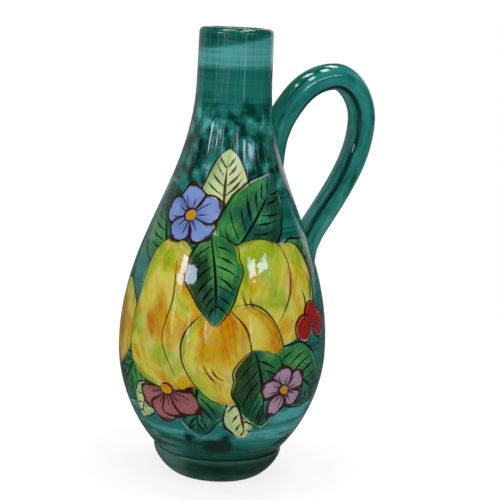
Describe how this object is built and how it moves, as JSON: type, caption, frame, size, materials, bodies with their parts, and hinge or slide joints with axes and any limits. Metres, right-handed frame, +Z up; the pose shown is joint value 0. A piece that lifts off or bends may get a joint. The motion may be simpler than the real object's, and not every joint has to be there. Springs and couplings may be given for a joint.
{
  "type": "oil cruet",
  "caption": "Pear-shaped glazed earthenware bottle with an open neck, a luted foot ring and a looped strap handle, for pouring oil or vinegar at the table.",
  "frame": {"origin": "centre of the foot, on the table", "axes": "+Z up along the bottle's axis, +X towards the handle"},
  "size_m": [0.1236, 0.0976, 0.21],
  "materials": {
    "painted_glaze": "glossy glaze over brushed teal and painted fruit, leaves and blossom",
    "foot_glaze": "glossy deep green glaze, pooled in the crease",
    "handle_glaze": "glossy teal glaze with brush strokes along the strap"
  },
  "bodies": {
    "root": {"body": "painted_glaze", "foot_ring": "foot_glaze", "handle": "handle_glaze", "upper_tail": "handle_glaze", "lower_tail": "handle_glaze"}
  },
  "joints": []
}
